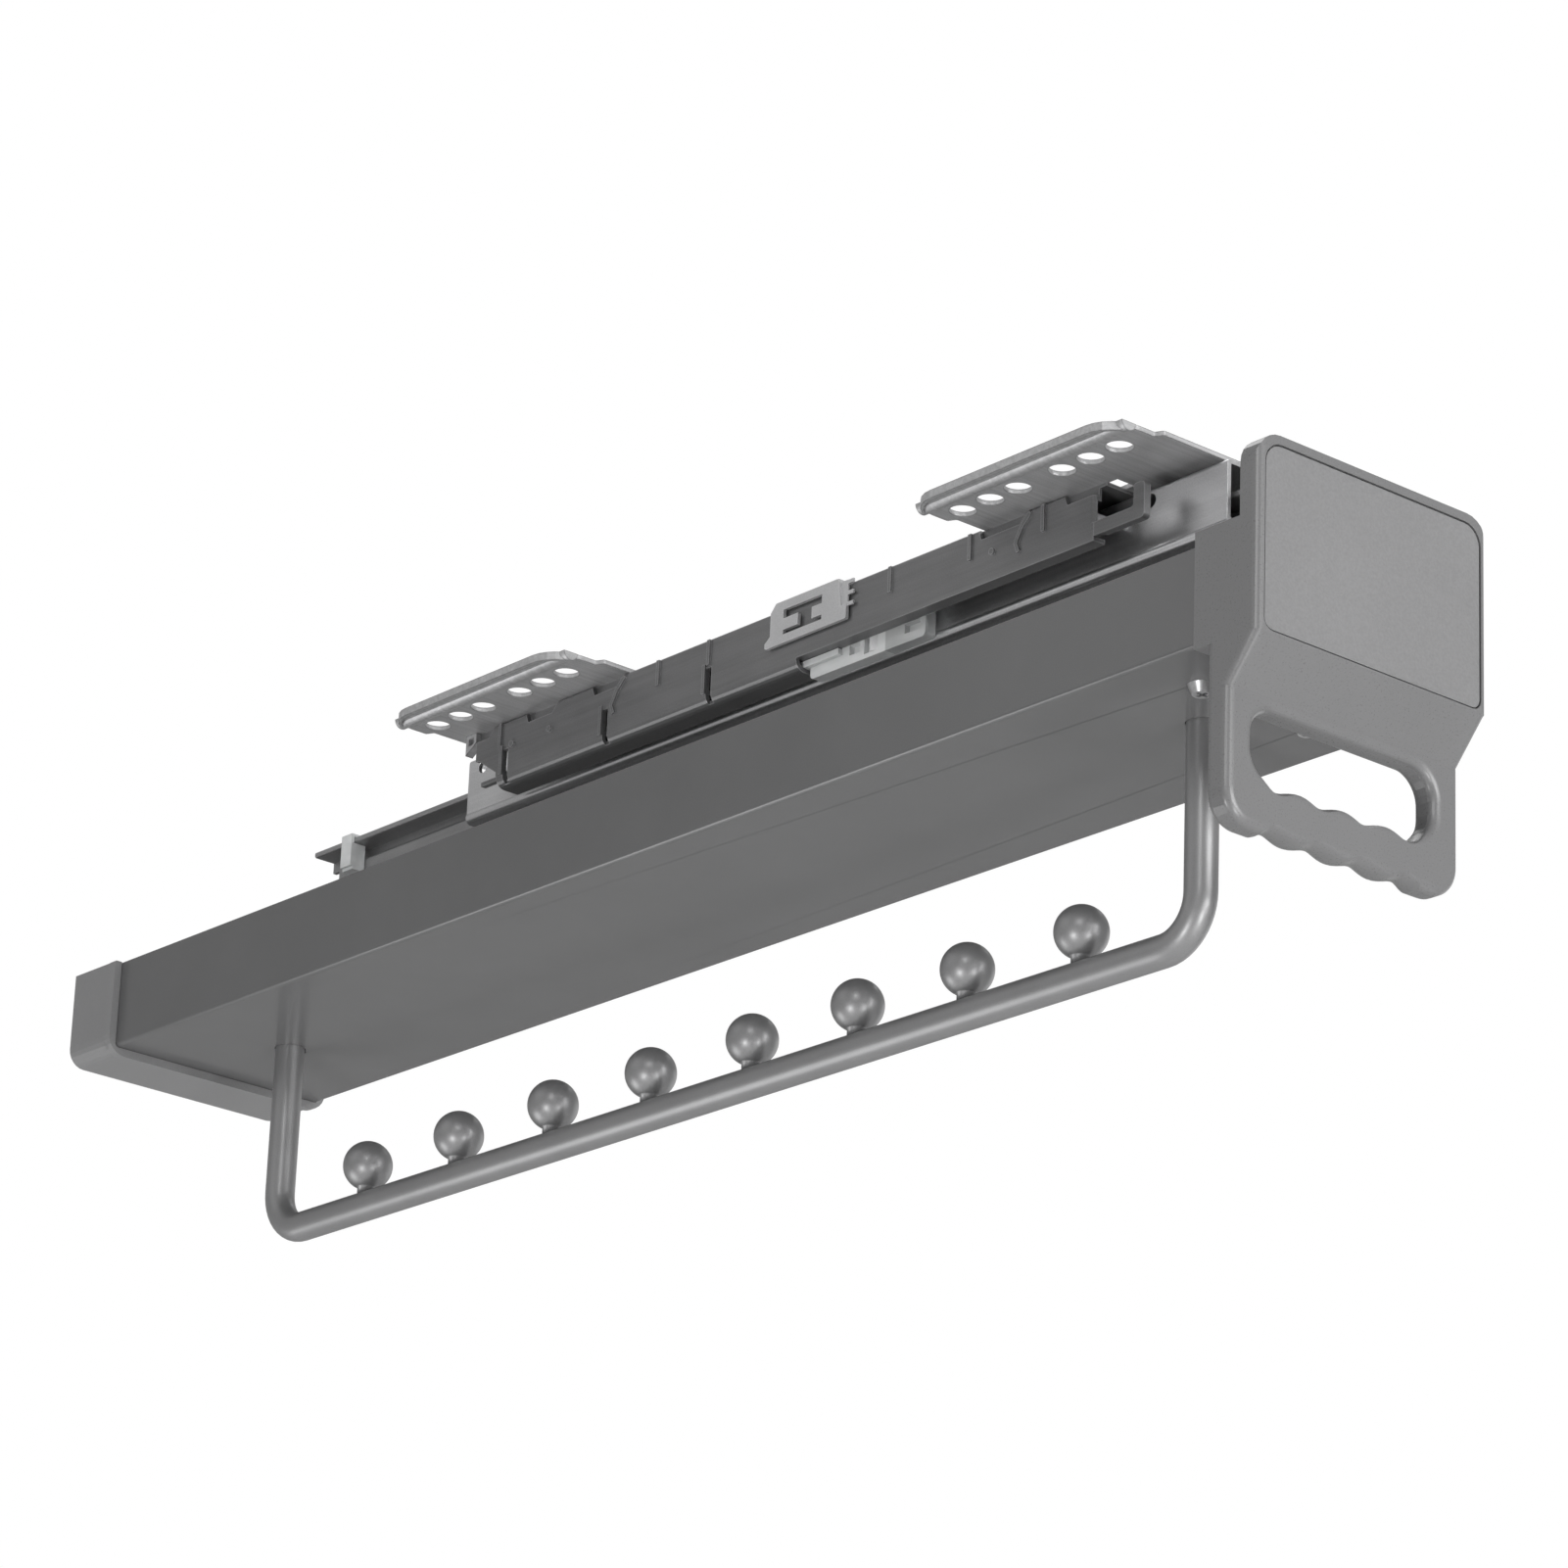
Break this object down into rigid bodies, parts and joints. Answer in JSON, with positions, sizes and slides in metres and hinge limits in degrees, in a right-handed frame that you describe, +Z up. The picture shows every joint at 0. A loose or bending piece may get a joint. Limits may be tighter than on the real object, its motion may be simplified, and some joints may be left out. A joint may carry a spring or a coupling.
{
  "type": "pull-out trouser rack",
  "caption": "Pull-out trouser rack: a slotted U beam with a grip panel and a bent rod of stop balls, hung from shelf plates on a top-mounted extension slide.",
  "frame": {"origin": "centre of the rectangle of the four outermost screw holes, on the top face of the plates that meets the shelf", "axes": "+Z up towards the shelf, -Y towards the user, the way the rack pulls out, +X to the right of a user who faces it"},
  "size_m": [0.0954, 0.4738, 0.1175],
  "materials": {
    "bracket_steel": "satin powder coat",
    "rivet_steel": "flush pressed heads",
    "rail_dark": "satin powder coat",
    "clip_steel": "zinc plated, matte",
    "rail_light": "zinc plated, satin",
    "clear_plastic": "clear moulded",
    "roller_plastic": "smooth moulded",
    "screw_steel": "bright zinc",
    "beam_aluminium": "anodised, satin",
    "cap_plastic": "fine grain",
    "panel_plastic": "satin moulded",
    "plate_plastic": "fine texture",
    "rod_paint": "satin metallic coat"
  },
  "bodies": {
    "shelf_side": {"front_bracket": "bracket_steel", "rear_bracket": "bracket_steel", "front_rivets": "rivet_steel", "rear_rivets": "rivet_steel", "fixed_rail": "rail_dark", "rail_clip": "clip_steel", "front_catches": "rail_dark"},
    "middle_runner": {"middle_rail": "rail_light"},
    "outer_carriage_left": {"outer_cage_left": "clear_plastic"},
    "outer_carriage_right": {"outer_cage_right": "clear_plastic"},
    "inner_carriage": {"inner_cage": "clear_plastic"},
    "tray": {"drawer_rail": "rail_light", "front_saddle": "rail_light", "rear_saddle": "rail_light", "rail_screws": "screw_steel", "tray_beam": "beam_aluminium", "rear_cap": "cap_plastic", "front_panel": "panel_plastic", "front_plate": "plate_plastic", "panel_screws": "screw_steel", "hanging_rod": "rod_paint", "front_socket": "cap_plastic", "rear_socket": "cap_plastic", "socket_screws": "screw_steel", "ball_1": "rod_paint", "ball_2": "rod_paint", "ball_3": "rod_paint", "ball_4": "rod_paint", "ball_5": "rod_paint", "ball_6": "rod_paint", "ball_7": "rod_paint", "ball_8": "rod_paint"},
    "outer_roller_left_front": {"outer_roller_left_front": "roller_plastic"},
    "outer_roller_left_mid": {"outer_roller_left_mid": "roller_plastic"},
    "outer_roller_left_rear": {"outer_roller_left_rear": "roller_plastic"},
    "outer_roller_right_front": {"outer_roller_right_front": "roller_plastic"},
    "outer_roller_right_mid": {"outer_roller_right_mid": "roller_plastic"},
    "outer_roller_right_rear": {"outer_roller_right_rear": "roller_plastic"},
    "guide_roller_left": {"guide_roller_left": "roller_plastic"},
    "guide_roller_right": {"guide_roller_right": "roller_plastic"},
    "inner_rollers_front": {"inner_rollers_front": "roller_plastic"},
    "inner_rollers_mid": {"inner_rollers_mid": "roller_plastic"},
    "inner_rollers_rear": {"inner_rollers_rear": "roller_plastic"}
  },
  "joints": [
    {"name": "middle_slide", "type": "slide", "parent": "shelf_side", "child": "middle_runner", "axis": [0, -1, 0], "range_m": [0, 0.15]},
    {"name": "tray_slide", "type": "slide", "parent": "middle_runner", "child": "tray", "axis": [0, -1, 0], "range_m": [0, 0.15]},
    {"name": "outer_carriage_left_slide", "type": "slide", "parent": "shelf_side", "child": "outer_carriage_left", "axis": [0, -1, 0], "range_m": [0, 0.075]},
    {"name": "outer_carriage_right_slide", "type": "slide", "parent": "shelf_side", "child": "outer_carriage_right", "axis": [0, -1, 0], "range_m": [0, 0.075]},
    {"name": "inner_carriage_slide", "type": "slide", "parent": "middle_runner", "child": "inner_carriage", "axis": [0, -1, 0], "range_m": [0, 0.075]},
    {"name": "outer_roller_left_front_spin", "type": "hinge", "parent": "outer_carriage_left", "child": "outer_roller_left_front", "pos_m": [-0.02225, -0.0346, -0.01195], "axis": [1, 0, 0], "continuous": true},
    {"name": "outer_roller_left_mid_spin", "type": "hinge", "parent": "outer_carriage_left", "child": "outer_roller_left_mid", "pos_m": [-0.02225, -0.00462, -0.01195], "axis": [1, 0, 0], "continuous": true},
    {"name": "outer_roller_left_rear_spin", "type": "hinge", "parent": "outer_carriage_left", "child": "outer_roller_left_rear", "pos_m": [-0.02225, 0.0493, -0.01195], "axis": [1, 0, 0], "continuous": true},
    {"name": "outer_roller_right_front_spin", "type": "hinge", "parent": "outer_carriage_right", "child": "outer_roller_right_front", "pos_m": [0.02225, -0.0346, -0.01195], "axis": [1, 0, 0], "continuous": true},
    {"name": "outer_roller_right_mid_spin", "type": "hinge", "parent": "outer_carriage_right", "child": "outer_roller_right_mid", "pos_m": [0.02225, -0.00462, -0.01195], "axis": [1, 0, 0], "continuous": true},
    {"name": "outer_roller_right_rear_spin", "type": "hinge", "parent": "outer_carriage_right", "child": "outer_roller_right_rear", "pos_m": [0.02225, 0.0493, -0.01195], "axis": [1, 0, 0], "continuous": true},
    {"name": "guide_roller_left_spin", "type": "hinge", "parent": "outer_carriage_left", "child": "guide_roller_left", "pos_m": [-0.0188, -0.0274, -0.0167], "axis": [0, 0, 1], "continuous": true},
    {"name": "guide_roller_right_spin", "type": "hinge", "parent": "outer_carriage_right", "child": "guide_roller_right", "pos_m": [0.0188, -0.0274, -0.0167], "axis": [0, 0, 1], "continuous": true},
    {"name": "inner_rollers_front_spin", "type": "hinge", "parent": "inner_carriage", "child": "inner_rollers_front", "pos_m": [0, -0.0596, -0.0162], "axis": [1, 0, 0], "continuous": true},
    {"name": "inner_rollers_mid_spin", "type": "hinge", "parent": "inner_carriage", "child": "inner_rollers_mid", "pos_m": [0, 0.03434, -0.0162], "axis": [1, 0, 0], "continuous": true},
    {"name": "inner_rollers_rear_spin", "type": "hinge", "parent": "inner_carriage", "child": "inner_rollers_rear", "pos_m": [0, 0.1315, -0.0162], "axis": [1, 0, 0], "continuous": true}
  ],
  "couplings": [
    {"joint": "tray_slide", "follows": "middle_slide", "ratio": 1},
    {"joint": "outer_carriage_left_slide", "follows": "middle_slide", "ratio": 0.5},
    {"joint": "outer_carriage_right_slide", "follows": "middle_slide", "ratio": 0.5},
    {"joint": "inner_carriage_slide", "follows": "middle_slide", "ratio": 0.5},
    {"joint": "outer_roller_left_front_spin", "follows": "middle_slide", "rad_per_m": 166.67},
    {"joint": "outer_roller_left_mid_spin", "follows": "middle_slide", "rad_per_m": 166.67},
    {"joint": "outer_roller_left_rear_spin", "follows": "middle_slide", "rad_per_m": 166.67},
    {"joint": "outer_roller_right_front_spin", "follows": "middle_slide", "rad_per_m": 166.67},
    {"joint": "outer_roller_right_mid_spin", "follows": "middle_slide", "rad_per_m": 166.67},
    {"joint": "outer_roller_right_rear_spin", "follows": "middle_slide", "rad_per_m": 166.67},
    {"joint": "guide_roller_left_spin", "follows": "middle_slide", "rad_per_m": -250},
    {"joint": "guide_roller_right_spin", "follows": "middle_slide", "rad_per_m": 250},
    {"joint": "inner_rollers_front_spin", "follows": "middle_slide", "rad_per_m": 126.58},
    {"joint": "inner_rollers_mid_spin", "follows": "middle_slide", "rad_per_m": 126.58},
    {"joint": "inner_rollers_rear_spin", "follows": "middle_slide", "rad_per_m": 126.58}
  ]
}
